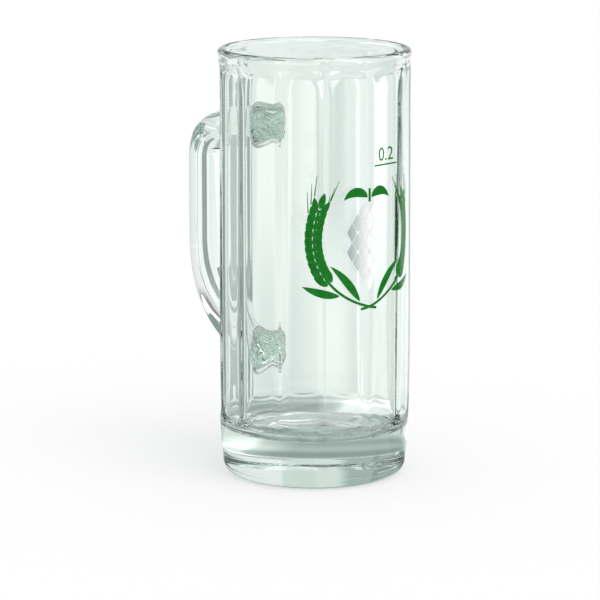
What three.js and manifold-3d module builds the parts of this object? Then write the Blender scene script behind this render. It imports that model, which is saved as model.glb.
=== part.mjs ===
// A tall glass beer mug with flat arched panels round its barrel and a solid glass handle.
// Millimetres, +Z up. The mug stands on z = 0, its axis is Z and the handle points to +Y.
import * as THREE from "three";
import { mergeVertices } from "three/addons/utils/BufferGeometryUtils.js";
import Module from "manifold-3d";

// Outside of the barrel
const HEIGHT = 137;
const BELLY_RADIUS = 30.8; // widest place of the barrel
const BELLY_LEVEL = 47; // height of that place
const HEEL_RADIUS = 29.3; // side of the base, where the heel's rounding starts
const HEEL_ROUND = 4; // rounding between the side and the standing ring
const NECK_RADIUS = 30.4; // just under the rim
const RING_WIDTH = 4; // flat ring that the mug stands on
const RECESS_DEPTH = 1.6; // hollow of the underside inside that ring
const RECESS_SLOPE = 3.5; // how far the hollow's edge leans inwards

// Rim
const RIM_WIDTH = 3.1; // thickness of the fire-polished rim
const RIM_SWELL = 0.3; // how far the rim swells past the neck
const RIM_SWELL_HEIGHT = 2.6; // how far down the swelling reaches

// Inside
const BORE_RADIUS_LOW = 27.1; // inside radius, where the floor's rounding starts
const FLOOR_LEVEL = 14.6; // inside floor above the table, so the base is solid glass
const FLOOR_ROUND = 6; // rounding between the floor and the wall

// Flat panels round the barrel, pressed through to the inside
const PANEL_COUNT = 13;
const RIDGE_WIDTH = 2.25; // round strip left between two panels
const ARCH_SPRING = 7.2; // from the rim down to where a panel's arched top starts
const ARCH_RUNOUT = 7.5; // radius of the sweep in which a panel runs out at its top
const FOOT_LEVEL = 20.6; // where a panel's rounded foot starts
const FOOT_RUNOUT = 4.6; // radius of the sweep in which a panel runs out at its foot

// Handle
const HANDLE_REACH = 68; // mug axis to the back of the grip
const HANDLE_WIDTH = 12.6;
const GRIP_THICKNESS = 8;
const JOINT_HEIGHT = 14.5; // height of the handle's two ends on the wall
const UPPER_JOINT_LEVEL = 108.7;
const LOWER_JOINT_LEVEL = 34.3;
const GRIP_TOP = 94; // straight stretch of the grip
const GRIP_FOOT = 68;
const UPPER_ARM_PULL = 27; // how far the upper arm runs straight out before it bends
const UPPER_BEND_PULL = 10; // how early the bend comes in above the grip
const LOWER_ARM_PULL = 20;
const LOWER_ARM_RISE = 2.7; // the lower arm leaves the wall slightly upwards
const LOWER_BEND_PULL = 22;
const FLARE_LENGTH = 30; // stretch over which an end swells to the joint's height
const SECTION_POWER = 2.5; // 2 is an ellipse, more is squarer
const JOINT_GAP = 0.3; // between the handle's ends and the wall
const JOINT_SINK = 3; // how far the handle is drawn into the wall before it is trimmed

// Fineness of the round surfaces
const STEPS_PER_PANEL = 8;
const ARC_STEPS = 4;
const RUNOUT_STEPS = 5;
const RUNOUT_EXCESS = 1.4; // a sweep is drawn this much deeper than its panel, to end in the air
const BARREL_STEPS = 8;
const HANDLE_STEPS = 44;
const SECTION_STEPS = 20;

const wasm = await Module();
wasm.setup();

// A closed geometry as a solid that can be cut and joined.
function solidOf(geometry) {
  const bare = geometry.clone();
  bare.deleteAttribute("normal");
  bare.deleteAttribute("uv");
  const merged = mergeVertices(bare, 1e-4);
  return new wasm.Manifold(
    new wasm.Mesh({
      numProp: 3,
      vertProperties: new Float32Array(merged.attributes.position.array),
      triVerts: new Uint32Array(merged.index.array),
    }),
  );
}

// A solid as a geometry that a mesh can show.
function geometryOf(solid) {
  const mesh = solid.getMesh();
  const geometry = new THREE.BufferGeometry();
  geometry.setAttribute("position", new THREE.BufferAttribute(mesh.vertProperties, 3));
  geometry.setIndex(new THREE.BufferAttribute(mesh.triVerts, 1));
  geometry.computeVertexNormals();
  return geometry;
}

// A profile of (radius, height) points turned about Z, with a vertex line at -Y.
function turned(points) {
  const steps = PANEL_COUNT * STEPS_PER_PANEL;
  const geometry = new THREE.LatheGeometry(points, steps);
  geometry.rotateX(Math.PI / 2);
  return solidOf(geometry);
}

// Points on an arc from angle a to angle b, both ends included.
function arc(centreRadius, centreHeight, radius, a, b) {
  const curve = new THREE.EllipseCurve(centreRadius, centreHeight, radius, radius, a, b, b < a);
  return curve.getPoints(ARC_STEPS);
}

const neckLevel = HEIGHT - RIM_WIDTH / 2 - RIM_SWELL_HEIGHT;
const rimRadius = NECK_RADIUS + RIM_SWELL;
const rimCentre = HEIGHT - RIM_WIDTH / 2;
const boreRadiusTop = rimRadius - RIM_WIDTH;
const boreFoot = FLOOR_LEVEL + FLOOR_ROUND;

// Outside radius of the barrel at a height: widest at the belly, drawn in a little at both ends.
function barrelRadius(height) {
  if (height < BELLY_LEVEL) {
    const share = (BELLY_LEVEL - height) / (BELLY_LEVEL - HEEL_ROUND);
    return BELLY_RADIUS - (BELLY_RADIUS - HEEL_RADIUS) * share ** 3;
  }
  const share = (height - BELLY_LEVEL) / (neckLevel - BELLY_LEVEL);
  return BELLY_RADIUS - (BELLY_RADIUS - NECK_RADIUS) * share ** 2;
}

// Inside radius above the floor's rounding, a little wider at the rim.
function boreRadius(height) {
  const share = (height - boreFoot) / (rimCentre - boreFoot);
  return THREE.MathUtils.lerp(BORE_RADIUS_LOW, boreRadiusTop, share);
}

// Heights at which the barrel is drawn between two levels.
function levels(from, to) {
  return Array.from({ length: BARREL_STEPS + 1 }, (_, i) => from + ((to - from) * i) / BARREL_STEPS);
}

// The barrel with its base and rim, filled, and grown outwards by a margin.
function barrel(grown) {
  const ringOuter = HEEL_RADIUS - HEEL_ROUND;
  const ringInner = ringOuter - RING_WIDTH;
  const outline = [
    new THREE.Vector2(0, RECESS_DEPTH),
    new THREE.Vector2(ringInner - RECESS_SLOPE, RECESS_DEPTH),
    new THREE.Vector2(ringInner, 0),
    ...arc(ringOuter, HEEL_ROUND, HEEL_ROUND, -Math.PI / 2, 0),
    ...levels(HEEL_ROUND, neckLevel)
      .slice(1)
      .map((height) => new THREE.Vector2(barrelRadius(height), height)),
    ...arc(rimRadius - RIM_WIDTH / 2, rimCentre, RIM_WIDTH / 2, 0, Math.PI / 2),
    new THREE.Vector2(0, HEIGHT),
  ];
  return turned(outline.map((p) => new THREE.Vector2(p.x > ringInner ? p.x + grown : p.x, p.y)));
}

// The sweep in which a panel runs out, as (distance outwards, distance along) from where it starts.
function runout(radius, panelDepth) {
  const length = Math.sqrt(2 * radius * RUNOUT_EXCESS * panelDepth);
  return Array.from({ length: RUNOUT_STEPS + 1 }, (_, i) => {
    const along = (length * i) / RUNOUT_STEPS;
    return new THREE.Vector2(along ** 2 / (2 * radius), along);
  });
}

// What one panel takes off a round form: a flat slab that follows the form's radius and sweeps
// out of it at each end. The slab is drawn as (distance from the axis, height).
function panelCut(index, roundRadius, grown) {
  const halfAngle = Math.PI / PANEL_COUNT - RIDGE_WIDTH / BELLY_RADIUS / 2;
  const flat = (height) => roundRadius(height) * Math.cos(halfAngle) + grown;
  const panelDepth = (height) => roundRadius(height) * (1 - Math.cos(halfAngle));
  const outside = rimRadius + BELLY_RADIUS;
  const top = HEIGHT - ARCH_SPRING;
  const foot = runout(FOOT_RUNOUT, panelDepth(FOOT_LEVEL));
  const head = runout(ARCH_RUNOUT, panelDepth(top));
  const outline = [
    ...foot.reverse().map((p) => new THREE.Vector2(flat(FOOT_LEVEL) + p.x, FOOT_LEVEL - p.y)),
    ...levels(FOOT_LEVEL, top)
      .slice(1, -1)
      .map((height) => new THREE.Vector2(flat(height), height)),
    ...head.map((p) => new THREE.Vector2(flat(top) + p.x, top + p.y)),
    new THREE.Vector2(outside, top + head[RUNOUT_STEPS].y),
    new THREE.Vector2(outside, FOOT_LEVEL - foot[0].y),
  ];
  const width = 2 * BELLY_RADIUS * Math.tan(Math.PI / PANEL_COUNT);
  const geometry = new THREE.ExtrudeGeometry(new THREE.Shape(outline), { depth: width, bevelEnabled: false });
  geometry.translate(0, 0, -width / 2);
  const turn = -Math.PI / 2 + ((index + 0.5) * 2 * Math.PI) / PANEL_COUNT;
  const outwards = new THREE.Vector3(Math.cos(turn), Math.sin(turn), 0);
  const up = new THREE.Vector3(0, 0, 1);
  const across = new THREE.Vector3().crossVectors(outwards, up);
  geometry.applyMatrix4(new THREE.Matrix4().makeBasis(outwards, up, across));
  return solidOf(geometry);
}

// A round form with every panel cut.
function panelled(form, roundRadius, grown) {
  let solid = form;
  for (let index = 0; index < PANEL_COUNT; index += 1) {
    solid = solid.subtract(panelCut(index, roundRadius, grown));
  }
  return solid;
}

// The outside of the mug, filled, and grown outwards by a margin.
function panelledBarrel(grown) {
  return panelled(barrel(grown), barrelRadius, grown);
}

// The inside: a bore with a rounded floor, open past the rim's rounding, with flat panels that lie
// parallel to the outside ones, so the wall is of even thickness.
function panelledBore() {
  const open = HEIGHT + RIM_WIDTH;
  const bore = turned([
    new THREE.Vector2(0, FLOOR_LEVEL),
    ...arc(BORE_RADIUS_LOW - FLOOR_ROUND, boreFoot, FLOOR_ROUND, -Math.PI / 2, 0),
    ...arc(boreRadiusTop + RIM_WIDTH / 2, rimCentre, RIM_WIDTH / 2, Math.PI, Math.PI / 2),
    new THREE.Vector2(boreRadiusTop + RIM_WIDTH / 2, open),
    new THREE.Vector2(0, open),
  ]);
  return panelled(bore, boreRadius, 0);
}

// Middle line of the handle in the YZ plane, from the upper joint round the grip to the lower joint.
function handleLine() {
  const root = barrelRadius(UPPER_JOINT_LEVEL) - JOINT_SINK;
  const foot = barrelRadius(LOWER_JOINT_LEVEL) - JOINT_SINK;
  const grip = HANDLE_REACH - GRIP_THICKNESS / 2;
  const point = (out, height) => new THREE.Vector3(0, out, height);
  const line = new THREE.CurvePath();
  line.add(
    new THREE.CubicBezierCurve3(
      point(root, UPPER_JOINT_LEVEL),
      point(root + UPPER_ARM_PULL, UPPER_JOINT_LEVEL),
      point(grip, GRIP_TOP + UPPER_BEND_PULL),
      point(grip, GRIP_TOP),
    ),
  );
  line.add(new THREE.LineCurve3(point(grip, GRIP_TOP), point(grip, GRIP_FOOT)));
  line.add(
    new THREE.CubicBezierCurve3(
      point(grip, GRIP_FOOT),
      point(grip, GRIP_FOOT - LOWER_BEND_PULL),
      point(foot + LOWER_ARM_PULL, LOWER_JOINT_LEVEL + LOWER_ARM_RISE),
      point(foot, LOWER_JOINT_LEVEL),
    ),
  );
  return line;
}

// One closed section of the handle: a squarish ellipse across the middle line.
function handleSection(centre, along, thickness) {
  const across = new THREE.Vector3(1, 0, 0);
  const outwards = new THREE.Vector3().crossVectors(across, along).normalize();
  return Array.from({ length: SECTION_STEPS }, (_, i) => {
    const turn = (2 * Math.PI * i) / SECTION_STEPS;
    const squared = (value) => Math.sign(value) * Math.abs(value) ** (2 / SECTION_POWER);
    return centre
      .clone()
      .addScaledVector(across, (HANDLE_WIDTH / 2) * squared(Math.cos(turn)))
      .addScaledVector(outwards, (thickness / 2) * squared(Math.sin(turn)));
  });
}

// A skin over a row of closed sections with a flat cap at each end.
function loft(sections) {
  const count = sections[0].length;
  const last = sections.length - 1;
  const points = sections.flat();
  const faces = [];
  for (let row = 0; row < last; row += 1) {
    for (let i = 0; i < count; i += 1) {
      const a = row * count + i;
      const b = row * count + ((i + 1) % count);
      faces.push(a, a + count, b, b, a + count, b + count);
    }
  }
  for (let i = 1; i < count - 1; i += 1) {
    faces.push(0, i, i + 1);
    faces.push(last * count, last * count + i + 1, last * count + i);
  }
  const geometry = new THREE.BufferGeometry().setFromPoints(points);
  geometry.setIndex(faces);
  return solidOf(geometry);
}

// The handle: lofted along its middle line, swelling towards both ends, and trimmed to the wall.
function handle() {
  const line = handleLine();
  const length = line.getLength();
  const sections = Array.from({ length: HANDLE_STEPS + 1 }, (_, i) => {
    const share = i / HANDLE_STEPS;
    const fromWall = Math.min(share, 1 - share) * length - JOINT_SINK;
    const slim = THREE.MathUtils.smoothstep(fromWall, 0, FLARE_LENGTH);
    const thickness = THREE.MathUtils.lerp(JOINT_HEIGHT, GRIP_THICKNESS, slim);
    return handleSection(line.getPointAt(share), line.getTangentAt(share), thickness);
  });
  return loft(sections).subtract(panelledBarrel(JOINT_GAP));
}

const clearGlass = new THREE.MeshStandardMaterial({
  color: 0xdcebe2,
  roughness: 0.05,
  metalness: 0,
  transparent: true,
  opacity: 0.35,
});

function piece(name, solid) {
  const mesh = new THREE.Mesh(geometryOf(solid), clearGlass);
  mesh.name = name;
  return mesh;
}

const mug = new THREE.Group();
mug.add(piece("glass_body", panelledBarrel(0).subtract(panelledBore())));
mug.add(piece("handle", handle()));

export default mug;
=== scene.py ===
import math

import bmesh
import bpy
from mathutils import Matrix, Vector, noise


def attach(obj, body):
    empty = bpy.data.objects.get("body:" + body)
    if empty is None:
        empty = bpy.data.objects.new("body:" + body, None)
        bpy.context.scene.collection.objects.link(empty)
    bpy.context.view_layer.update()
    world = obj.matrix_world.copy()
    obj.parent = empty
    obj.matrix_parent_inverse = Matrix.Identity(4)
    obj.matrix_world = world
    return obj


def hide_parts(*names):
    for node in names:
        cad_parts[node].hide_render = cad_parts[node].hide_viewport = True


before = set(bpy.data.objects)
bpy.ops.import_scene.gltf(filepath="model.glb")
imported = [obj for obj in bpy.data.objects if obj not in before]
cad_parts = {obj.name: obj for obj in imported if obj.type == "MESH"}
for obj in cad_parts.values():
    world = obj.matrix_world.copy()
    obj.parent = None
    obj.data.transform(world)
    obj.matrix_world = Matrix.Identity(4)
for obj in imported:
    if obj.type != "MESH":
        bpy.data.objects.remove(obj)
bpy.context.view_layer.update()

MM = 0.001
TINY = 0.01              # millimetres: what is closer to a place than this is at it

# Outside of the glass, in millimetres, as in the solids
HEIGHT = 137.0
BELLY_RADIUS = 30.8
BELLY_LEVEL = 47.0
HEEL_RADIUS = 29.3
HEEL_ROUND = 4.0
NECK_RADIUS = 30.4
RING_WIDTH = 4.0
RECESS_DEPTH = 1.6
RECESS_SLOPE = 3.5
RIM_WIDTH = 3.1
RIM_SWELL = 0.3
RIM_SWELL_HEIGHT = 2.6

# Inside of the glass
BORE_RADIUS_LOW = 27.1
FLOOR_LEVEL = 14.6
FLOOR_ROUND = 6.0

# Flat panels
PANEL_COUNT = 13
RIDGE_WIDTH = 2.25
ARCH_SPRING = 7.2
ARCH_RUNOUT = 7.5
FOOT_LEVEL = 20.6
FOOT_RUNOUT = 4.6
EDGE_SOFT = 0.32         # depth by which a panel's edge is rounded off along its sides
INNER_SOFT = 0.4         # the same inside the cup
ARCH_SOFT = 0.12         # the same at the panels' arched tops and feet
SOFT_FROM = 1.0          # distances from a panel's ends between which its edge turns soft
SOFT_TO = 9.0

# Handle
HANDLE_REACH = 68.0
HANDLE_WIDTH = 12.6
GRIP_THICKNESS = 8.0
JOINT_HEIGHT = 14.5
UPPER_JOINT_LEVEL = 108.7
LOWER_JOINT_LEVEL = 34.3
GRIP_TOP = 94.0
GRIP_FOOT = 68.0
UPPER_ARM_PULL = 27.0
UPPER_BEND_PULL = 10.0
LOWER_ARM_PULL = 20.0
LOWER_ARM_RISE = 2.7
LOWER_BEND_PULL = 22.0
FLARE_LENGTH = 30.0
SECTION_POWER = 2.5
JOINT_SINK = 0.15        # how far the handle's ends are melted into the wall
SQUARE_LENGTH = 3.0      # how far the handle leaves the wall squarely
LIP_HEIGHT = 1.6         # the lip squashed out at the wall, above and below the handle
LIP_SIDE_SHARE = 0.5     # share of it that stands out at the handle's sides
LIP_PROFILE = [          # distance from the sunk end, share of the lip
    (0.0, 0.6), (0.15, 0.62), (0.22, 0.75), (0.32, 0.88), (0.45, 0.97), (0.6, 1.0), (0.75, 0.97),
    (0.88, 0.88), (0.98, 0.75), (1.05, 0.6), (1.12, 0.42), (1.2, 0.26), (1.32, 0.13), (1.55, 0.05),
    (2.2, 0.0),
]
UPPER_WAVE = 0.45        # the handle's ends slumped into a wavy outline while hot
LOWER_WAVE = 0.95
UPPER_EDGE_WAVE = (0.6, 3.0)    # radians per millimetre across an end, and where its wave turns
LOWER_EDGE_WAVE = (0.5, 4.0)
SLUMP_FROM = 0.5         # distances from the wall between which the waves die out
SLUMP_TO = 5.0
WRINKLE_DEPTH = 0.5      # chill wrinkles on the handle's ends
WRINKLE_LENGTH = 4.0
WRINKLE_ACROSS = 0.7     # stretch of the wrinkles across the end, and their run over half its height
WRINKLE_UP = 13.0
WRINKLED_SHARE = 0.97    # share of an end's outline inside which it is wrinkled

# Prints on the wall, as (right, height) on the barrel rolled out flat about the side opposite the handle
INK_THICKNESS = 0.06
INK_GAP = 0.35           # bare glass left between two printed shapes
INK_POINT = 0.05         # half the width of a printed point
INK_WELD = 0.005         # points of one print closer than this are one
STALK_HALF = 0.42        # half the width of a stalk
STALK_BEND = [(-3.0, 58.0), (14.0, 61.0), (22.23, 74.0), (16.77, 90.0)]    # of the right-hand stalk
EAR_START = 0.42         # shares of a stalk where its ear starts and ends
EAR_END = 0.97
EAR_NODES = 11
SEED_SKEW = 0.85         # below 1 a kernel or leaf is widest past its middle
SEED_FULLNESS = 0.8      # below 1 it is fuller than a sine
KERNEL_LENGTH = 5.2
KERNEL_WIDTH = 2.1
KERNEL_LEAN = 20.0       # degrees from the stalk
AWN_NODES = 3            # nodes at the ear's tip that carry awns
AWN_LENGTH = 6.6
AWN_HALF = 0.2
AWN_TAPER = 0.12
AWN_LEAN = 9.0
STALK_LEAVES = ((0.14, 38.0, 15.0), (0.3, -30.0, 12.0))    # share of the stalk, degrees from it, length
STALK_LEAF_WIDTH = 2.6
STALK_LEAF_DROOP = 0.8   # share of its turn that a leaf gives back at its tip
STALK_LEAF_BEND = ((0.0, 0.0), (0.35, 0.0), (0.6, 0.1), (0.7, 0.35))    # shares of its length
CONE_TOP = 91.5
CONE_ROWS = (2, 3, 4, 3, 4, 3, 2, 1)
CONE_STALK = 4.2
CONE_LEAF_LIFT = 1.4
CONE_LEAF_WIDTH = 3.0
CONE_LEAF_BEND = ((0.0, 0.0), (2.2, 2.4), (5.4, 2.4), (8.0, -0.6))
SCALE_SPACING = 4.0
SCALE_ROW = 3.1
SCALE_FULLNESS = 0.85
FILL_LEVEL = 102.8       # 200 ml between the inside floor and this height
FILL_LINE = 10.5
FILL_STROKE = 0.5
FIGURE_SIZE = 6.0        # type size; the figures are 0.7 of it tall
FIGURE_LIFT = 1.3

# Fired ink: width of its mottling, and where, right of the axis, the white print's painted shade blends
# into its own colour
MOTTLE_SIZE = 1.5
SHADE_FROM = -8.5
SHADE_TO = 2.0

# Fineness of the meshes
COLUMNS_PER_PANEL = 32
FLAT_SHARE = 0.7         # share of a panel that half of its columns cover; the others crowd at its ridges
FINE_ROW = 0.2           # spacing of rows where panels start and end
FINE_REACH = 3.4         # how far below the panels' feet these rows start
FINE_OVER = 1.0          # how far they reach into the panels
BASE_ROW = 2.0           # spacing of rows elsewhere
WALL_ROW = 5.0
RIM_ROW = 0.4
BORE_ROW = 4.0
RECESS_MIDDLE = 8.0      # rings between the middle and the edge of the recess and of the inside floor
FLOOR_MIDDLE = 9.0
ARC_STEPS = 10
CURVE_STEPS = 400
NUDGE = 0.01             # share of a curve over which its direction is taken
HANDLE_STEP = 1.0
LIP_CLEAR = 2.9          # ring just clear of the lip
HANDLE_START = 3.6       # where the handle's even steps start
SECTION_STEPS = 80
END_RINGS = 14
FIRST_RING = 0.2         # the ring round an end's middle, as a share of a ring's width
WELD = 0.002             # points of the wall closer than this are one

NECK_LEVEL = HEIGHT - RIM_WIDTH / 2 - RIM_SWELL_HEIGHT
RIM_RADIUS = NECK_RADIUS + RIM_SWELL
BORE_RADIUS_TOP = RIM_RADIUS - RIM_WIDTH
RIM_CENTRE = HEIGHT - RIM_WIDTH / 2
PANEL_TOP = HEIGHT - ARCH_SPRING
PITCH = 2 * math.pi / PANEL_COUNT
HALF_PANEL = PITCH / 2 - RIDGE_WIDTH / BELLY_RADIUS / 2

# Camera, at the photograph's viewing angle
CAMERA_AZIMUTH = -34.15  # degrees from the front
CAMERA_PITCH = 11.3      # degrees downwards
CAMERA_DISTANCE = 0.99735    # metres from the mug's axis, and above the floor
CAMERA_HEIGHT = 0.2549
CAMERA_LENS = 190.4
SENSOR = 36.0
IMAGE_SIZE = 600
AXIS_PIXEL = 314.5       # column of the mug's axis in the image

# Light: white all round; in and through the glass the front and the ceiling are darker
ROOM_LIGHT = 0.8
FRONT_TONE = 0.92
FRONT_BLEND = 0.3        # share of straight ahead within which front and back blend
CEILING_TONE = 0.28
CEILING_FROM = 0.5       # heights, as shares of straight up, between which the ceiling darkens
CEILING_TO = 0.8
SOFTBOX_PLACE = (0.5, -0.6, 1.2)    # metres right of the camera's line, beyond the mug and above the floor
SOFTBOX_SPREAD = 50.0
SOFTBOX_STRENGTH = 1.2
FLOOR_SIZE = 8.0
FLOOR_DROP = 0.05        # millimetres below the mug, so that the two don't share a face
FLOOR_GLOW = 0.5         # share of plain white in the floor, as the camera sees it
FLOOR_GLOW_IN_GLASS = 0.2

# Painted light and shade seen in and through the glass: glowing studio cards, tinted from CARD_SHADE where
# dark to CARD_WHITE where bright, with tones as (degrees to the right, tone) or (metres from the mug's
# axis, tone)
CARD_SHADE = "ddfff6"
CARD_WHITE = "fafffc"
EVEN = [(0.0, 1.0), (3.0, 1.0)]
# Painted vertical bands of light and shade behind the mug, seen through its panels: UPPER_TONES further
# back, LOWER_TONES close by
UPPER_TONES = [
    (-6.3, 1.0), (-1.7, 0.95), (-1.45, 1.0), (-1.3, 1.12), (-0.95, 1.12), (-0.6, 0.93), (0.0, 1.08),
    (0.15, 1.08), (0.28, 0.95), (0.36, 0.76), (0.52, 0.8), (0.66, 0.93), (0.8, 0.9), (1.22, 0.95),
    (1.34, 1.55), (1.6, 1.55), (1.8, 1.15), (2.6, 1.02), (6.3, 1.02),
]
LOWER_TONES = [
    (-6.3, 1.1), (-1.4, 1.02), (-1.1, 0.95), (-0.5, 0.86), (0.0, 0.97), (0.15, 1.0), (0.3, 1.06),
    (0.46, 1.06), (0.62, 0.97), (0.8, 0.88), (1.15, 0.92), (1.28, 1.22), (1.5, 1.22), (1.7, 1.05),
    (2.5, 1.0), (6.3, 1.15),
]
# Painted shadow: the card behind the mug is darker close to it
BEHIND_PAINTED_SHADOW = [(0.07, 0.86), (0.15, 0.92), (0.3, 0.95), (0.5, 0.96), (0.98, 0.97)]
# Painted shade: the far card and the backdrop a little darker than white
FAR_TONES = [(-10, 0.9), (-1.2, 0.9), (0.5, 0.83), (10, 0.85)]
# Painted light and shade round the mug, by angle about its axis: dark and bright bands the glass shows from
# every side
ROUND_TONES = [
    (-180, 1.2), (-165, 0.9), (-150, 1.2), (-130, 1.1), (-110, 0.6), (-75, 0.6), (-60, 1.0), (-42, 1.05),
    (-14, 1.1), (-8, 1.1), (8, 1.0), (24.8, 1.05), (25.3, 0.35), (27.8, 0.35), (28.8, 1.1), (60, 1.05),
    (68, 0.6), (76, 0.4), (94, 0.4), (98, 0.95), (107.5, 0.95), (109.5, 0.85), (116, 0.85), (122, 1.2),
    (160, 1.2), (170, 0.9), (180, 1.2),
]
# Painted shadow under and round the mug's foot, by distance from its axis
UNDER_PAINTED_SHADOW = [
    (0.0, 0.5), (0.006, 0.5), (0.01, 0.3), (0.017, 0.3), (0.022, 0.36), (0.0275, 0.36), (0.033, 0.62),
    (0.05, 0.8), (0.075, 1.0), (3.0, 1.0),
]
# Painted shade: a dark horizon band except straight behind the mug, and a darker wall to its left
HORIZON_TONES = [(-60, 0.1), (-12, 0.1), (-6, 0.9), (8, 0.9), (14, 0.1), (60, 0.1)]
LEFT_TONES = [(-60, 0.5), (-16, 0.5), (-10, 0.9), (0, 1.0)]
# Painted shadow behind the mug on its left and a painted pool of light on its right, with a bright painted
# band 54 to 58 mm from its axis
NEAR_PAINTED_SHADOW_AND_LIGHT = [
    (-60, 0.5), (-35, 0.4), (-22, 0.4), (-11, 0.41), (2, 0.43), (5, 0.6), (9, 0.75), (13, 1.25), (60, 1.25),
]
NEAR_PAINTED_SHADE_AND_LIGHT_RING = [(0.0, 0.8), (0.048, 0.85), (0.054, 1.3), (0.058, 1.35), (0.066, 1.0), (0.12, 1.0)]
NEAR_BEYOND = [(-60, 0.85), (0, 0.82), (8, 0.95), (16, 0.88), (60, 0.9)]
# Painted shade: dim glowing flags beside the mug that put dark bands into its left wall
FLAG_LOW_PAINTED_SHADE = [(-90, 0.3), (90, 0.3)]
FLAG_LEFT_PAINTED_SHADE = [(-90, 0.34), (90, 0.34)]
FLAG_EDGE_PAINTED_SHADE = [(-90, 0.36), (90, 0.36)]


# Shape of the glass

def smooth_step(value, low, high):
    share = min(max((value - low) / (high - low), 0.0), 1.0)
    return share * share * (3 - 2 * share)


def soft_min(a, b, softness):
    return (a + b - math.hypot(a - b, softness)) / 2


def barrel_radius(height):
    """Outside radius of the round barrel, widest at the belly."""
    if height < BELLY_LEVEL:
        share = (BELLY_LEVEL - height) / (BELLY_LEVEL - HEEL_ROUND)
        return BELLY_RADIUS - (BELLY_RADIUS - HEEL_RADIUS) * share ** 3
    share = (height - BELLY_LEVEL) / (NECK_LEVEL - BELLY_LEVEL)
    return BELLY_RADIUS - (BELLY_RADIUS - NECK_RADIUS) * share ** 2


def panel_distance(height):
    """Distance of a flat panel from the axis; it sweeps outwards above and below the panel."""
    level = min(max(height, FOOT_LEVEL), PANEL_TOP)
    over = max(height - PANEL_TOP, 0.0)
    under = max(FOOT_LEVEL - height, 0.0)
    sweep = over ** 2 / (2 * ARCH_RUNOUT) + under ** 2 / (2 * FOOT_RUNOUT)
    return barrel_radius(level) * math.cos(HALF_PANEL) + sweep


def from_panel_middle(turn):
    """Angle from the middle of the nearest panel; turn is counted from -Y towards +X, where a ridge is."""
    return (turn % PITCH) - PITCH / 2


def outside_radius(turn, height, softness=EDGE_SOFT):
    """Radius of the panelled wall; the softness holds along the panels' sides and not at their ends."""
    plane = panel_distance(height) / math.cos(from_panel_middle(turn))
    sides = smooth_step(height, FOOT_LEVEL + SOFT_FROM, FOOT_LEVEL + SOFT_TO)
    sides -= smooth_step(height, PANEL_TOP - SOFT_TO, PANEL_TOP - SOFT_FROM)
    return soft_min(plane, barrel_radius(height), ARCH_SOFT + (softness - ARCH_SOFT) * sides)


def bore_radius(height):
    share = (height - FLOOR_LEVEL - FLOOR_ROUND) / (RIM_CENTRE - FLOOR_LEVEL - FLOOR_ROUND)
    return BORE_RADIUS_LOW + (BORE_RADIUS_TOP - BORE_RADIUS_LOW) * share


# Modelling helpers

def add_object(name, primitive, **settings):
    """A new primitive, alone in the selection and named."""
    bpy.ops.object.select_all(action="DESELECT")
    primitive(**settings)
    made = bpy.context.active_object
    made.name = name
    made.data.name = name
    return made


def spun_wedge(name, profile, angle, steps):
    """A slice of a round shell: the (radius, height) profile, in millimetres, spun about Z from -Y."""
    wedge = add_object(name, bpy.ops.mesh.primitive_plane_add, size=MM)
    bpy.ops.object.mode_set(mode="EDIT")
    bpy.ops.mesh.merge(type="CENTER")
    first = profile[0]
    bpy.ops.transform.translate(value=(0, -first[0] * MM, first[1] * MM))
    for a, b in zip(profile, profile[1:]):
        move = (0, (a[0] - b[0]) * MM, (b[1] - a[1]) * MM)
        bpy.ops.mesh.extrude_vertices_move(TRANSFORM_OT_translate={"value": move})
    bpy.ops.mesh.select_all(action="SELECT")
    bpy.ops.mesh.spin(steps=steps, angle=angle, center=(0, 0, 0), axis=(0, 0, 1))
    bpy.ops.object.mode_set(mode="OBJECT")
    return wedge


def repeat_round(piece, count):
    """Copies a slice round the Z axis and welds the copies to one closed shell."""
    bpy.ops.object.empty_add(rotation=(0, 0, 2 * math.pi / count))
    turner = bpy.context.active_object
    bpy.context.view_layer.objects.active = piece
    array = piece.modifiers.new("round", "ARRAY")
    array.count = count
    array.use_relative_offset = False
    array.use_object_offset = True
    array.offset_object = turner
    bpy.ops.object.modifier_apply(modifier=array.name)
    bpy.data.objects.remove(turner)
    bpy.ops.object.select_all(action="DESELECT")
    piece.select_set(True)
    bpy.ops.object.mode_set(mode="EDIT")
    bpy.ops.mesh.select_all(action="SELECT")
    bpy.ops.mesh.remove_doubles(threshold=WELD * MM)
    bpy.ops.mesh.normals_make_consistent(inside=False)
    bpy.ops.object.mode_set(mode="OBJECT")


def arc(centre, radius, start, end):
    """Points on an arc, both ends included, angles in degrees."""
    turns = [math.radians(start + (end - start) * i / ARC_STEPS) for i in range(ARC_STEPS + 1)]
    return [(centre[0] + radius * math.cos(t), centre[1] + radius * math.sin(t)) for t in turns]


def steps_between(low, high, spacing):
    count = max(1, round((high - low) / spacing))
    return [low + (high - low) * i / count for i in range(count + 1)]


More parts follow.
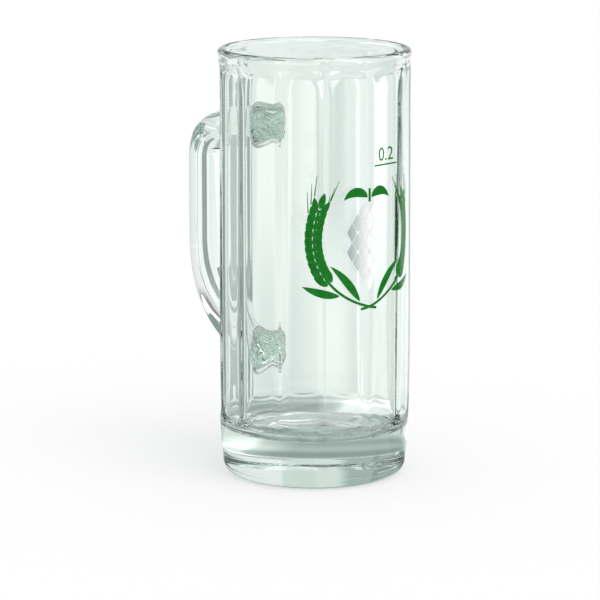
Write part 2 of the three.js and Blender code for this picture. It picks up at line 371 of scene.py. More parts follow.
def glass_profile():
    """(radius, height) points from under the base, over the outside and the rim, to the inside floor."""
    ring_outer = HEEL_RADIUS - HEEL_ROUND
    ring_inner = ring_outer - RING_WIDTH
    below_foot = FOOT_LEVEL - FINE_REACH
    levels = steps_between(HEEL_ROUND, below_foot, BASE_ROW)
    levels += steps_between(below_foot, FOOT_LEVEL + FINE_OVER, FINE_ROW)[1:]
    levels += steps_between(FOOT_LEVEL + FINE_OVER, PANEL_TOP - FINE_OVER, WALL_ROW)[1:]
    levels += steps_between(PANEL_TOP - FINE_OVER, NECK_LEVEL, FINE_ROW)[1:]
    side = [(barrel_radius(level), level) for level in levels]
    swell = []
    for level in steps_between(NECK_LEVEL, RIM_CENTRE, RIM_ROW)[1:-1]:
        swell.append((NECK_RADIUS + RIM_SWELL * smooth_step(level, NECK_LEVEL, RIM_CENTRE), level))
    rim_middle = (RIM_RADIUS - RIM_WIDTH / 2, RIM_CENTRE)
    rim = arc(rim_middle, RIM_WIDTH / 2, 0, 90) + arc(rim_middle, RIM_WIDTH / 2, 90, 180)[1:]
    low = FLOOR_LEVEL + FLOOR_ROUND
    bore_levels = steps_between(low, RIM_CENTRE, BORE_ROW)[1:-1]
    wall = [(bore_radius(level), level) for level in reversed(bore_levels)]
    floor = arc((BORE_RADIUS_LOW - FLOOR_ROUND, low), FLOOR_ROUND, 0, -90)
    recess = [(0.0, RECESS_DEPTH), (RECESS_MIDDLE, RECESS_DEPTH), (ring_inner - RECESS_SLOPE, RECESS_DEPTH)]
    recess += [(ring_inner - RECESS_SLOPE / 2, RECESS_DEPTH / 2), (ring_inner, 0.0)]
    heel = arc((ring_outer, HEEL_ROUND), HEEL_ROUND, -90, 0)[:-1]
    middle = [(FLOOR_MIDDLE, FLOOR_LEVEL), (0.0, FLOOR_LEVEL)]
    return recess + heel + side + swell + rim + wall + floor + middle


def draw_columns(turn):
    """Moves evenly spun columns closer together at the ridges, where the panels' edges are."""
    middle = turn - from_panel_middle(turn)
    share = from_panel_middle(turn) / (PITCH / 2)
    reach = abs(share)
    wide = FLAT_SHARE * PITCH / 2
    drawn = wide * 2 * reach if reach < 0.5 else wide + (PITCH / 2 - wide) * (2 * reach - 1)
    return middle + math.copysign(drawn, share)


def press_panels(glass):
    """Presses the flat panels into the round barrel, and into the inside wall above the floor."""
    for vertex in glass.data.vertices:
        radius = math.hypot(vertex.co.x, vertex.co.y) / MM
        height = vertex.co.z / MM
        if radius < TINY:
            continue
        turn = draw_columns(math.atan2(vertex.co.x, -vertex.co.y))
        in_wall = FLOOR_LEVEL < height < NECK_LEVEL + TINY
        if in_wall and radius > (BORE_RADIUS_TOP + NECK_RADIUS) / 2:
            radius = outside_radius(turn, height)
        elif in_wall:
            flat = outside_radius(turn, height, INNER_SOFT) / barrel_radius(height)
            share = smooth_step(height, FLOOR_LEVEL, FLOOR_LEVEL + FLOOR_ROUND)
            radius *= 1 - (1 - flat) * share
        vertex.co.x = radius * MM * math.sin(turn)
        vertex.co.y = -radius * MM * math.cos(turn)


def make_glass_body():
    glass = spun_wedge("mug_glass", glass_profile(), PITCH, COLUMNS_PER_PANEL)
    press_panels(glass)
    repeat_round(glass, PANEL_COUNT)
    bpy.ops.object.shade_smooth()
    return glass


def bezier(points, share):
    a, b, c, d = points
    back = 1 - share
    return a * back ** 3 + b * 3 * back ** 2 * share + c * 3 * back * share ** 2 + d * share ** 3


def handle_curve():
    """Close points along the handle's middle, as (distance from the axis, height), and the run to each."""
    root = panel_distance(UPPER_JOINT_LEVEL) - JOINT_SINK
    foot = panel_distance(LOWER_JOINT_LEVEL) - JOINT_SINK
    grip = HANDLE_REACH - GRIP_THICKNESS / 2
    upper = [
        Vector((root, UPPER_JOINT_LEVEL)),
        Vector((root + UPPER_ARM_PULL, UPPER_JOINT_LEVEL)),
        Vector((grip, GRIP_TOP + UPPER_BEND_PULL)),
        Vector((grip, GRIP_TOP)),
    ]
    lower = [
        Vector((grip, GRIP_FOOT)),
        Vector((grip, GRIP_FOOT - LOWER_BEND_PULL)),
        Vector((foot + LOWER_ARM_PULL, LOWER_JOINT_LEVEL + LOWER_ARM_RISE)),
        Vector((foot, LOWER_JOINT_LEVEL)),
    ]
    points = [bezier(upper, i / CURVE_STEPS) for i in range(CURVE_STEPS + 1)]
    points += [upper[3].lerp(lower[0], i / CURVE_STEPS) for i in range(1, CURVE_STEPS)]
    points += [bezier(lower, i / CURVE_STEPS) for i in range(CURVE_STEPS + 1)]
    runs = [0.0]
    for a, b in zip(points, points[1:]):
        runs.append(runs[-1] + (b - a).length)
    return points, runs


def handle_rings():
    """Cross-sections along the handle, closer together at the lips where it meets the wall."""
    points, runs = handle_curve()
    length = runs[-1]
    near = [run for run, share in LIP_PROFILE] + [LIP_CLEAR]
    middle = steps_between(HANDLE_START, length - HANDLE_START, HANDLE_STEP)
    stations = near + middle + [length - run for run in reversed(near)]
    rings = []
    k = 0
    for run in stations:
        while k < len(runs) - 2 and runs[k + 1] < run:
            k += 1
        centre = points[k].lerp(points[k + 1], (run - runs[k]) / (runs[k + 1] - runs[k]))
        along = (points[k + 1] - points[k]).normalized()
        from_wall = min(run, length - run)
        if from_wall < SQUARE_LENGTH:
            along = Vector((1.0 if run < length / 2 else -1.0, 0.0))
        rings.append(handle_section(centre, along, from_wall))
    return end_net(rings[0]) + rings + list(reversed(end_net(rings[-1])))


def end_net(ring):
    """Rings that fill an end face from its middle outwards."""
    middle = sum(ring, Vector()) / len(ring)
    shares = [(i + FIRST_RING) / END_RINGS for i in range(END_RINGS)]
    return [[middle.lerp(place, share) for place in ring] for share in shares]


def lip_share(from_wall):
    """Share of the full lip that stands out round the handle at a distance from its sunk end."""
    for (a, full), (b, rest) in zip(LIP_PROFILE, LIP_PROFILE[1:]):
        if from_wall < b:
            return full + (rest - full) * (from_wall - a) / (b - a)
    return 0.0


def handle_section(centre, along, from_wall):
    """One cross-section: a squarish oval that grows towards the wall and has a lip there."""
    lip = LIP_HEIGHT * lip_share(from_wall)
    slim = smooth_step(from_wall, 0, FLARE_LENGTH)
    joint = JOINT_HEIGHT - 2 * LIP_HEIGHT
    thickness = joint + (GRIP_THICKNESS - joint) * slim + 2 * lip
    width = HANDLE_WIDTH + 2 * lip * LIP_SIDE_SHARE
    outwards = Vector((-along.y, along.x))
    ring = []
    for step in range(SECTION_STEPS):
        turn = 2 * math.pi * step / SECTION_STEPS
        across = math.copysign(abs(math.cos(turn)) ** (2 / SECTION_POWER), math.cos(turn))
        up = math.copysign(abs(math.sin(turn)) ** (2 / SECTION_POWER), math.sin(turn))
        place = centre + outwards * (thickness / 2 * up)
        ring.append(Vector((width / 2 * across, place.x, place.y)) * MM)
    return ring


def lofted(name, rings):
    """A closed solid: one ring drawn out through a row of rings, with a face at each end."""
    count = len(rings[0])
    solid = add_object(name, bpy.ops.mesh.primitive_circle_add, vertices=count, radius=MM)
    bpy.ops.object.mode_set(mode="EDIT")
    mesh = bmesh.from_edit_mesh(solid.data)
    mesh.verts.ensure_lookup_table()
    row = list(mesh.verts)
    for vertex, place in zip(row, rings[0]):
        vertex.co = place
    bpy.ops.mesh.select_all(action="SELECT")
    bpy.ops.mesh.edge_face_add()
    for ring in rings[1:]:
        bpy.ops.mesh.extrude_region()
        mesh = bmesh.from_edit_mesh(solid.data)
        drawn = [v for v in mesh.verts if v.select]
        drawn_from = {}
        for new in drawn:
            ends = [edge.other_vert(new) for edge in new.link_edges]
            drawn_from[next(end for end in ends if not end.select)] = new
        row = [drawn_from[old] for old in row]
        for vertex, place in zip(row, ring):
            vertex.co = place
        bmesh.update_edit_mesh(solid.data)
    bpy.ops.mesh.select_all(action="SELECT")
    bpy.ops.mesh.normals_make_consistent(inside=False)
    bpy.ops.object.mode_set(mode="OBJECT")
    return solid


def wrinkle_ends(handle):
    """Ripples both end faces, as glass chilled against the wall, and lets their outlines slump."""
    for vertex in handle.data.vertices:
        upper = vertex.co.z / MM > (GRIP_TOP + GRIP_FOOT) / 2
        level = UPPER_JOINT_LEVEL if upper else LOWER_JOINT_LEVEL
        end = panel_distance(level) - JOINT_SINK
        across = vertex.co.x / MM
        up = (vertex.co.z / MM - level) / (JOINT_HEIGHT / 2)
        from_end = vertex.co.y / MM - end
        if from_end < TINY and math.hypot(across / (HANDLE_WIDTH / 2), up) < WRINKLED_SHARE:
            spot = Vector((across * WRINKLE_ACROSS, up * WRINKLE_UP, level)) / WRINKLE_LENGTH
            vertex.co.y -= WRINKLE_DEPTH * MM * (0.5 + 0.5 * noise.noise(spot))
        pace, turning = UPPER_EDGE_WAVE if up > 0 else LOWER_EDGE_WAVE
        wave = math.copysign(1, -up) * math.cos(pace * (across - turning))
        slump = (UPPER_WAVE if upper else LOWER_WAVE) * (1 - smooth_step(from_end, SLUMP_FROM, SLUMP_TO))
        vertex.co.z += slump * abs(up) * wave * MM


def make_handle():
    handle = lofted("mug_handle", handle_rings())
    wrinkle_ends(handle)
    bpy.ops.object.shade_smooth()
    return handle


# Prints

def ink_strip(spine, half_width, steps, across=4):
    """A flat strip of ink: spine(share) is its middle, half_width(share) half its width, in millimetres."""
    strip = add_object(
        "ink", bpy.ops.mesh.primitive_grid_add, x_subdivisions=steps, y_subdivisions=across, size=2.0,
    )
    for vertex in strip.data.vertices:
        share = (vertex.co.x + 1) / 2
        ahead = (spine(min(share + NUDGE, 1.0)) - spine(max(share - NUDGE, 0.0))).normalized()
        place = spine(share) + Vector((-ahead.y, ahead.x)) * half_width(share) * vertex.co.y
        vertex.co = Vector((place.x, 0, place.y)) * MM
    return strip


def straight(start, direction, length):
    return lambda share: start + direction * length * share


def curved(points):
    return lambda share: bezier(points, share)


def even(half_width):
    return lambda share: half_width


def awn_outline(share):
    return AWN_HALF - AWN_TAPER * share


def seed_outline(width):
    """Half the width of a pointed, full-bellied shape."""
    return lambda share: max(width / 2 * math.sin(math.pi * share ** SEED_SKEW) ** SEED_FULLNESS, INK_POINT)


def turned_by(direction, degrees):
    turn = math.radians(degrees)
    return Vector((
        direction.x * math.cos(turn) - direction.y * math.sin(turn),
        direction.x * math.sin(turn) + direction.y * math.cos(turn),
    ))


def ear_of_barley(side):
    """Half of the wreath: a bent stalk with leaves, two rows of kernels and awns; side is -1 or 1."""
    stalk = curved([Vector((right * side, height)) for right, height in STALK_BEND])

    def heading(share):
        return (stalk(min(share + NUDGE, 1.0)) - stalk(share - NUDGE)).normalized()

    kernel = seed_outline(KERNEL_WIDTH)
    beside = STALK_HALF + INK_GAP
    strips = [ink_strip(stalk, even(STALK_HALF), steps=60, across=2)]
    for node in range(EAR_NODES):
        share = EAR_START + (EAR_END - EAR_START) * node / (EAR_NODES - 1)
        ahead = heading(share)
        for row in (-1, 1):
            lean = turned_by(ahead, KERNEL_LEAN * row)
            start = stalk(share) + turned_by(ahead, 90 * row) * beside
            strips.append(ink_strip(straight(start, lean, KERNEL_LENGTH), kernel, steps=10))
            if node >= EAR_NODES - AWN_NODES:
                tip = start + lean * (KERNEL_LENGTH + INK_GAP)
                awn = straight(tip, turned_by(ahead, AWN_LEAN * row), AWN_LENGTH)
                strips.append(ink_strip(awn, awn_outline, steps=12, across=2))
    tip_heading = heading(1 - NUDGE)
    crown = stalk(1.0) + tip_heading * INK_GAP
    strips.append(ink_strip(straight(crown, tip_heading, KERNEL_LENGTH), kernel, steps=10))
    for at, turn, length in STALK_LEAVES:
        start = stalk(at) + turned_by(heading(at), math.copysign(90, turn) * side) * beside
        rise = turned_by(heading(at), turn * side)
        droop = turned_by(rise, -STALK_LEAF_DROOP * turn * side)
        leaf = [start + rise * length * along + droop * length * down for along, down in STALK_LEAF_BEND]
        strips.append(ink_strip(curved(leaf), seed_outline(STALK_LEAF_WIDTH), steps=20))
    return strips


def hop_cone():
    """Rows of pointed scales that fit into each other, fullest above the middle."""
    strips = []
    for row, count in enumerate(CONE_ROWS):
        for i in range(count):
            right = (i - (count - 1) / 2) * SCALE_SPACING
            top = Vector((right, CONE_TOP - row * SCALE_ROW))
            length = 2 * SCALE_ROW - INK_GAP
            strips.append(ink_strip(straight(top, Vector((0, -1)), length), scale_outline, steps=12))
    return strips


def scale_outline(share):
    reach = 1 - abs(2 * share - 1)
    return max((SCALE_SPACING - 2 * INK_GAP) / 2 * reach ** SCALE_FULLNESS, INK_POINT)


def hop_leaves():
    """A short stalk and two leaves above the cone."""
    root = Vector((0.0, CONE_TOP + INK_GAP))
    stalk = straight(root, Vector((0, 1)), CONE_STALK)
    strips = [ink_strip(stalk, even(STALK_HALF), steps=8, across=2)]
    for side in (-1, 1):
        start = root + Vector((side * (STALK_HALF + INK_GAP), CONE_LEAF_LIFT))
        leaf = [start + Vector((right * side, up)) for right, up in CONE_LEAF_BEND]
        strips.append(ink_strip(curved(leaf), seed_outline(CONE_LEAF_WIDTH), steps=20))
    return strips


def fill_mark():
    """The measure's line, on the middle of a panel, with its figure in litres above it."""
    middle = PITCH / 2 * BELLY_RADIUS
    line = straight(Vector((middle - FILL_LINE / 2, FILL_LEVEL)), Vector((1, 0)), FILL_LINE)
    strips = [ink_strip(line, even(FILL_STROKE / 2), steps=24, across=2)]
    bpy.ops.object.select_all(action="DESELECT")
    bpy.ops.object.text_add()
    figure = bpy.context.active_object
    figure.data.body = "0.2"
    figure.data.align_x = "CENTER"
    figure.data.size = FIGURE_SIZE * MM
    figure.data.resolution_u = 6
    bpy.ops.object.convert(target="MESH")
    for vertex in figure.data.vertices:
        place = vertex.co.copy()
        vertex.co = (place.x + middle * MM, 0, place.y + (FILL_LEVEL + FIGURE_LIFT) * MM)
    return strips + [figure]


def print_on_wall(name, strips):
    """Joins flat strips, gives them the ink's thickness and rolls them onto the panels."""
    bpy.ops.object.select_all(action="DESELECT")
    for strip in strips:
        strip.select_set(True)
    bpy.context.view_layer.objects.active = strips[0]
    bpy.ops.object.join()
    ink = bpy.context.active_object
    ink.name = name
    ink.data.name = name
    bpy.ops.object.mode_set(mode="EDIT")
    bpy.ops.mesh.select_all(action="SELECT")
    bpy.ops.mesh.remove_doubles(threshold=INK_WELD * MM)
    bpy.ops.object.mode_set(mode="OBJECT")
    depth = ink.modifiers.new("ink", "SOLIDIFY")
    depth.thickness = INK_THICKNESS * MM
    depth.offset = 0
    bpy.ops.object.modifier_apply(modifier=depth.name)
    for vertex in ink.data.vertices:
        turn = vertex.co.x / MM / BELLY_RADIUS
        height = vertex.co.z / MM
        radius = outside_radius(turn, height) - vertex.co.y / MM
        vertex.co.x = radius * MM * math.sin(turn)
        vertex.co.y = -radius * MM * math.cos(turn)
    bpy.ops.object.mode_set(mode="EDIT")
    bpy.ops.mesh.select_all(action="SELECT")
    bpy.ops.mesh.normals_make_consistent(inside=False)
    bpy.ops.object.mode_set(mode="OBJECT")
    bpy.ops.object.shade_smooth_by_angle(angle=math.radians(40))
    return ink


# Materials

def linear(hex_colour):
    """An sRGB hex colour as linear RGBA."""
    parts = [int(hex_colour[i:i + 2], 16) / 255 for i in (0, 2, 4)]
    return tuple(c / 12.92 if c <= 0.04045 else ((c + 0.055) / 1.055) ** 2.4 for c in parts) + (1.0,)


def add_node(tree, kind, links=(), **settings):
    """Adds one node. A setting names an input socket or else a property; a link is (output, input name)."""
    node = tree.nodes.new(kind)
    for name, value in settings.items():
        socket = name.replace("_", " ")
        if socket in node.inputs:
            node.inputs[socket].default_value = value
        else:
            setattr(node, name, value)
    for output, name in links:
        tree.links.new(output, node.inputs[name])
    return node


def new_material(name):
    material = bpy.data.materials.new(name)
    material.use_nodes = True
    material.node_tree.nodes.clear()
    return material


def soda_lime_glass():
    """Fire-polished soda-lime glass: smooth and clear, with a green tint that deepens with thickness.

    It lets most of the light through to the floor, so its shadow is pale.
    """
    material = new_material("soda_lime_glass_fire_polished")
    tree = material.node_tree
    glass = add_node(
        tree, "ShaderNodeBsdfPrincipled",
        Base_Color=linear("fbfdfc"), Roughness=0.0, IOR=1.52, Transmission_Weight=1.0,
    )
    through = add_node(tree, "ShaderNodeBsdfTransparent", Color=linear("c8d6d0"))
    path = add_node(tree, "ShaderNodeLightPath")
    surface = add_node(
        tree, "ShaderNodeMixShader",
        [(path.outputs["Is Shadow Ray"], 0), (glass.outputs[0], 1), (through.outputs[0], 2)],
    )
    tint = add_node(tree, "ShaderNodeVolumeAbsorption", Color=linear("7ab4a1"), Density=5.0)
    add_node(
        tree, "ShaderNodeOutputMaterial",
        [(surface.outputs[0], "Surface"), (tint.outputs[0], "Volume")],
    )
    return material


def fired_enamel(name, pale, deep, shade=None):
    """Screen-printed enamel fired onto the glass: glossy, with faint mottling where the ink lay thinner.

    With a shade, the ink gets a painted shade: a blend from that colour, on the left, to its own.
    """
    material = new_material(name)
    tree = material.node_tree
    place = add_node(tree, "ShaderNodeTexCoord")
    mottle = add_node(
        tree, "ShaderNodeTexNoise", [(place.outputs["Object"], "Vector")],
        Scale=1 / (MOTTLE_SIZE * MM), Detail=3.0, Roughness=0.6,
    )
    colour = add_node(tree, "ShaderNodeValToRGB", [(mottle.outputs["Fac"], "Fac")])
    colour.color_ramp.elements[0].position = 0.3
    colour.color_ramp.elements[0].color = linear(deep)
    colour.color_ramp.elements[1].position = 0.7
    colour.color_ramp.elements[1].color = linear(pale)
    ink = colour.outputs["Color"]
    # Painted shade: the print greyer towards its left
    if shade:
        parts = add_node(tree, "ShaderNodeSeparateXYZ", [(place.outputs["Object"], 0)])
        along = add_node(
            tree, "ShaderNodeMapRange", [(parts.outputs["X"], "Value")], interpolation_type="SMOOTHSTEP",
            From_Min=SHADE_FROM * MM, From_Max=SHADE_TO * MM,
        )
        blend = add_node(tree, "ShaderNodeMix", [(along.outputs[0], 0), (ink, 7)], data_type="RGBA")
        blend.inputs[6].default_value = linear(shade)
        ink = blend.outputs[2]
    gloss = add_node(
        tree, "ShaderNodeMapRange", [(mottle.outputs["Fac"], "Value")], To_Min=0.22, To_Max=0.4,
    )
    enamel = add_node(
        tree, "ShaderNodeBsdfPrincipled",
        [(ink, "Base Color"), (gloss.outputs[0], "Roughness")], Specular_IOR_Level=0.15,
    )
    add_node(tree, "ShaderNodeOutputMaterial", [(enamel.outputs[0], "Surface")])
    return material


def give(piece, material):
    piece.data.materials.clear()
    piece.data.materials.append(material)


# Studio

def seen_shares(tree, camera, glass):
    """A share for what the camera sees directly, another for what it sees in or through glass, else 0."""
    path = add_node(tree, "ShaderNodeLightPath")
    mirrored = add_node(
        tree, "ShaderNodeMath",
        [(path.outputs["Is Glossy Ray"], 0), (path.outputs["Is Transmission Ray"], 1)], operation="MAXIMUM",
    )
    through = add_node(tree, "ShaderNodeMapRange", [(mirrored.outputs[0], "Value")], To_Max=glass)
    direct = add_node(tree, "ShaderNodeMapRange", [(path.outputs["Is Camera Ray"], "Value")], To_Max=camera)
    both = add_node(
        tree, "ShaderNodeMath",
        [(through.outputs[0], 0), (direct.outputs[0], 1)], operation="MAXIMUM",
    )
    return both.outputs[0]


def make_floor():
    """A white paper sweep; it glows a little, so that it is white round the mug and keeps the shadow."""
    place = (0, 0, -FLOOR_DROP * MM)
    floor = add_object("studio_floor", bpy.ops.mesh.primitive_plane_add, size=FLOOR_SIZE, location=place)
    material = new_material("white_paper_sweep")
    tree = material.node_tree
    paper = add_node(tree, "ShaderNodeBsdfDiffuse", Color=linear("f4f4f4"))
    glow = add_node(tree, "ShaderNodeEmission", Color=linear("ffffff"), Strength=1.0)
    share = seen_shares(tree, FLOOR_GLOW, FLOOR_GLOW_IN_GLASS)
    mix = add_node(tree, "ShaderNodeMixShader", [(share, 0), (paper.outputs[0], 1), (glow.outputs[0], 2)])
    add_node(tree, "ShaderNodeOutputMaterial", [(mix.outputs[0], "Surface")])
    give(floor, material)


def make_world():
    """Even white light; in and through glass the side behind the camera and the ceiling are darker."""
    world = bpy.data.worlds.new("studio")
    bpy.context.scene.world = world
    world.use_nodes = True
    tree = world.node_tree
    tree.nodes.clear()
    place = add_node(tree, "ShaderNodeTexCoord")
    ahead = add_node(
        tree, "ShaderNodeVectorMath", [(place.outputs["Generated"], 0)], operation="DOT_PRODUCT",
    )
    ahead.inputs[1].default_value = beside_camera(0, 1, 0)
    parts = add_node(tree, "ShaderNodeSeparateXYZ", [(place.outputs["Generated"], 0)])
    by_side = add_node(
        tree, "ShaderNodeMapRange", [(ahead.outputs["Value"], "Value")], interpolation_type="SMOOTHSTEP",
        From_Min=-FRONT_BLEND, From_Max=FRONT_BLEND, To_Min=FRONT_TONE, To_Max=1.0,
    )
    by_height = add_node(
        tree, "ShaderNodeMapRange", [(parts.outputs["Z"], "Value")], interpolation_type="SMOOTHSTEP",
        From_Min=CEILING_FROM, From_Max=CEILING_TO, To_Min=1.0, To_Max=CEILING_TONE,
    )
    tone = add_node(
        tree, "ShaderNodeMath", [(by_side.outputs[0], 0), (by_height.outputs[0], 1)], operation="MULTIPLY",
    )
    in_glass = seen_shares(tree, 0.0, 1.0)
    around = add_node(
        tree, "ShaderNodeMapRange", [(in_glass, "Value"), (tone.outputs[0], "To Max")], To_Min=ROOM_LIGHT,
    )
    path = add_node(tree, "ShaderNodeLightPath")
    level = add_node(
        tree, "ShaderNodeMapRange",
        [(path.outputs["Is Camera Ray"], "Value"), (around.outputs[0], "To Min")], To_Max=1.0,
    )
    back = add_node(tree, "ShaderNodeBackground", [(level.outputs[0], "Strength")], Color=linear("ffffff"))
    add_node(tree, "ShaderNodeOutputWorld", [(back.outputs[0], "Surface")])


def beside_camera(right, behind, height):
    """A place given by metres to the camera's right, beyond the mug's axis, and above the floor."""
    azimuth = math.radians(CAMERA_AZIMUTH)
    across = Vector((math.cos(azimuth), math.sin(azimuth), 0))
    away = Vector((-math.sin(azimuth), math.cos(azimuth), 0))
    return across * right + away * behind + Vector((0, 0, height))


def tones(tree, value, low, high, stops):
    """A grey tone that follows (value, tone) stops between low and high."""
    place = add_node(tree, "ShaderNodeMapRange", [(value, "Value")], From_Min=low, From_Max=high)
    ramp = add_node(tree, "ShaderNodeFloatCurve", [(place.outputs[0], "Value")])
    curve = ramp.mapping.curves[0]
    for i, (at, tone) in enumerate(stops):
        share = (at - low) / (high - low)
        if i in (0, len(stops) - 1):
            curve.points[0 if i == 0 else -1].location = (share, tone)
        else:
            curve.points.new(share, tone)
    for point in curve.points:
        point.handle_type = "VECTOR"
    ramp.mapping.use_clip = False
    ramp.mapping.update()
    return ramp.outputs[0]


def make_card(name, right, behind, width, length, lift, eye, across, along, standing=False, beyond=None):
    """A glowing card of painted light and shade, lying on the floor or standing, seen only in and through
    the glass.

    across gives tones by angle, in degrees to the right, seen from eye metres in front of the mug's axis;
    along gives them by distance from the axis, in metres. beyond is (other tones by angle, from, to):
    across turns into them between two distances.
    """
    card = add_object(name, bpy.ops.mesh.primitive_plane_add, size=1.0)
    card.scale = (width, length, 1)
    bpy.ops.object.transform_apply(location=False, rotation=False, scale=True)
    if standing:
        bpy.ops.object.mode_set(mode="EDIT")
        bpy.ops.transform.rotate(value=-math.pi / 2, orient_axis="X", center_override=(0, 0, 0))
        bpy.ops.object.mode_set(mode="OBJECT")
    card.location = beside_camera(right, behind, lift)
    card.rotation_euler = (0, 0, math.radians(CAMERA_AZIMUTH))
    material = new_material(name)
    tree = material.node_tree
    place = add_node(tree, "ShaderNodeTexCoord")
    from_axis = add_node(tree, "ShaderNodeVectorMath", [(place.outputs["Object"], 0)], operation="ADD")
    from_axis.inputs[1].default_value = (right, behind, 0)
    distance = add_node(tree, "ShaderNodeVectorMath", [(from_axis.outputs[0], 0)], operation="LENGTH")
    parts = add_node(tree, "ShaderNodeSeparateXYZ", [(from_axis.outputs[0], 0)])
    reach = add_node(tree, "ShaderNodeMath", [(parts.outputs["Y"], 0)], operation="ADD")
    reach.inputs[1].default_value = eye
    turn = add_node(
        tree, "ShaderNodeMath", [(parts.outputs["X"], 0), (reach.outputs[0], 1)], operation="ARCTAN2",
    )
    angle = add_node(tree, "ShaderNodeMath", [(turn.outputs[0], 0)], operation="DEGREES")
    by_angle = tones(tree, angle.outputs[0], across[0][0], across[-1][0], across)
    if beyond:
        further = tones(tree, angle.outputs[0], beyond[0][0][0], beyond[0][-1][0], beyond[0])
        blend = add_node(
            tree, "ShaderNodeMapRange",
            [(distance.outputs["Value"], "Value"), (by_angle, "To Min"), (further, "To Max")],
            interpolation_type="SMOOTHSTEP", From_Min=beyond[1], From_Max=beyond[2],
        )
        by_angle = blend.outputs[0]
    by_distance = tones(tree, distance.outputs["Value"], along[0][0], along[-1][0], along)
    tone = add_node(tree, "ShaderNodeMath", [(by_angle, 0), (by_distance, 1)], operation="MULTIPLY")
    tint = add_node(tree, "ShaderNodeMix", [(tone.outputs[0], 0)], data_type="RGBA", clamp_factor=True)
    tint.inputs[6].default_value = linear(CARD_SHADE)
    tint.inputs[7].default_value = linear(CARD_WHITE)
    light = add_node(
        tree, "ShaderNodeEmission", [(tint.outputs[2], "Color"), (tone.outputs[0], "Strength")],
    )
    add_node(tree, "ShaderNodeOutputMaterial", [(light.outputs[0], "Surface")])
    material.cycles.emission_sampling = "NONE"
    give(card, material)
    card.visible_camera = False
    card.visible_diffuse = False
    card.visible_shadow = False


def make_sun(name, place, target, spread, strength):
    """A wide soft light, given by a place it shines from towards a target."""
    data = bpy.data.lights.new(name, "SUN")
    data.angle = math.radians(spread)
    data.energy = strength
    lamp = bpy.data.objects.new(name, data)
    bpy.context.scene.collection.objects.link(lamp)
    lamp.rotation_euler = (Vector(target) - Vector(place)).to_track_quat("-Z", "Y").to_euler()


def make_camera():
    data = bpy.data.cameras.new("photo_camera")
    data.lens = CAMERA_LENS
    data.sensor_width = SENSOR
    camera = bpy.data.objects.new("photo_camera", data)
    bpy.context.scene.collection.objects.link(camera)
    azimuth = math.radians(CAMERA_AZIMUTH)
    camera.location = beside_camera(0, -CAMERA_DISTANCE, CAMERA_HEIGHT)
    aside = math.atan((AXIS_PIXEL - IMAGE_SIZE / 2) / IMAGE_SIZE * SENSOR / CAMERA_LENS)
    camera.rotation_euler = (math.radians(90 - CAMERA_PITCH), 0, azimuth + aside)
    bpy.context.scene.camera = camera


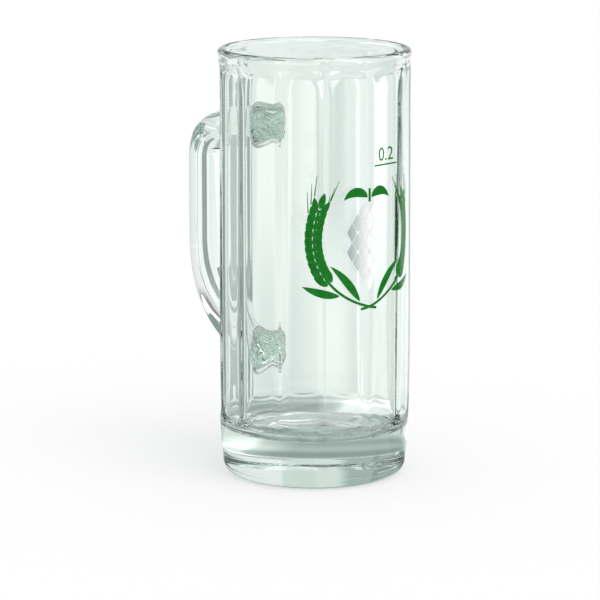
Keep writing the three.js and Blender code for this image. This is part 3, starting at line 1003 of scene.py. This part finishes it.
def make_cards():
    """Glowing cards of painted light and shade, mostly white, on the floor and behind the mug, and dark
    flags of painted shade that give the left wall its bands.
    """
    # Painted light and shade round the mug, and its painted shadow under it
    make_card(
        "card_round", right=0.0, behind=0.2, width=2.6, length=2.8, lift=-0.00004, eye=0.0,
        across=ROUND_TONES, along=UNDER_PAINTED_SHADOW,
    )
    make_card(
        "card_behind", right=0.0, behind=0.51, width=0.3, length=0.88, lift=0.001, eye=CAMERA_DISTANCE,
        across=LOWER_TONES, along=BEHIND_PAINTED_SHADOW, beyond=(UPPER_TONES, 0.2, 0.55),
    )
    make_card(
        "card_far", right=0.0, behind=1.275, width=0.6, length=0.65, lift=0.001, eye=CAMERA_DISTANCE,
        across=FAR_TONES, along=EVEN,
    )
    make_card(
        "card_backdrop", right=0.0, behind=1.6, width=0.8, length=1.6, lift=0.8, eye=CAMERA_DISTANCE,
        across=FAR_TONES, along=EVEN, standing=True,
    )
    make_card(
        "card_horizon", right=0.0, behind=1.59, width=4.0, length=0.045, lift=0.0225, eye=0.0,
        across=HORIZON_TONES, along=EVEN, standing=True,
    )
    make_card(
        "card_left_wall", right=-1.0, behind=1.4, width=1.5, length=0.8, lift=0.45, eye=0.0,
        across=LEFT_TONES, along=EVEN, standing=True,
    )
    # Painted shadow and painted pool of light on the floor just behind the mug
    make_card(
        "card_near_painted_shadow_and_light", right=0.0, behind=0.06, width=0.16, length=0.06, lift=0.0012, eye=0.0,
        across=NEAR_PAINTED_SHADOW_AND_LIGHT, along=NEAR_PAINTED_SHADE_AND_LIGHT_RING, beyond=(NEAR_BEYOND, 0.066, 0.08),
    )
    # Painted shade: dim glowing flags, seen only in the glass
    make_card(
        "flag_low_painted_shade", right=-0.081, behind=0.1, width=0.078, length=0.023, lift=0.0335, eye=0.0,
        across=FLAG_LOW_PAINTED_SHADE, along=EVEN, standing=True,
    )
    make_card(
        "flag_left_painted_shade", right=-0.0835, behind=0.06, width=0.073, length=0.118, lift=0.059, eye=0.0,
        across=FLAG_LEFT_PAINTED_SHADE, along=EVEN, standing=True,
    )
    make_card(
        "flag_edge_painted_shade", right=-0.0326, behind=0.09, width=0.006, length=0.111, lift=0.0565, eye=0.0,
        across=FLAG_EDGE_PAINTED_SHADE, along=EVEN, standing=True,
    )


make_camera()
make_world()
make_floor()
make_cards()
make_sun("softbox_above", beside_camera(*SOFTBOX_PLACE), (0, 0, 0), SOFTBOX_SPREAD, SOFTBOX_STRENGTH)

glass = soda_lime_glass()
body = make_glass_body()
handle = make_handle()
for piece, node in ((body, "glass_body"), (handle, "handle")):
    give(piece, glass)
    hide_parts(node)
    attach(piece, "root")

green = fired_enamel("green_enamel_screen_printed", "0c7a1b", "066417")
white = fired_enamel("white_enamel_with_painted_shade", "ffffff", "f0f2f2", shade="9aa8a8")
wreath = print_on_wall("barley_wreath_print", ear_of_barley(-1) + ear_of_barley(1) + hop_leaves())
cone = print_on_wall("hop_cone_print", hop_cone())
mark = print_on_wall("fill_mark_print", fill_mark())
prints = (
    (wreath, green, "green_enamel"),
    (cone, white, "white_enamel"),
    (mark, green, "green_enamel"),
)
for piece, material, slot in prints:
    give(piece, material)
    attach(piece, "root")

scene = bpy.context.scene
scene.view_settings.view_transform = "Standard"
scene.cycles.max_bounces = 40
scene.cycles.transmission_bounces = 36
scene.cycles.glossy_bounces = 16
scene.cycles.transparent_max_bounces = 40
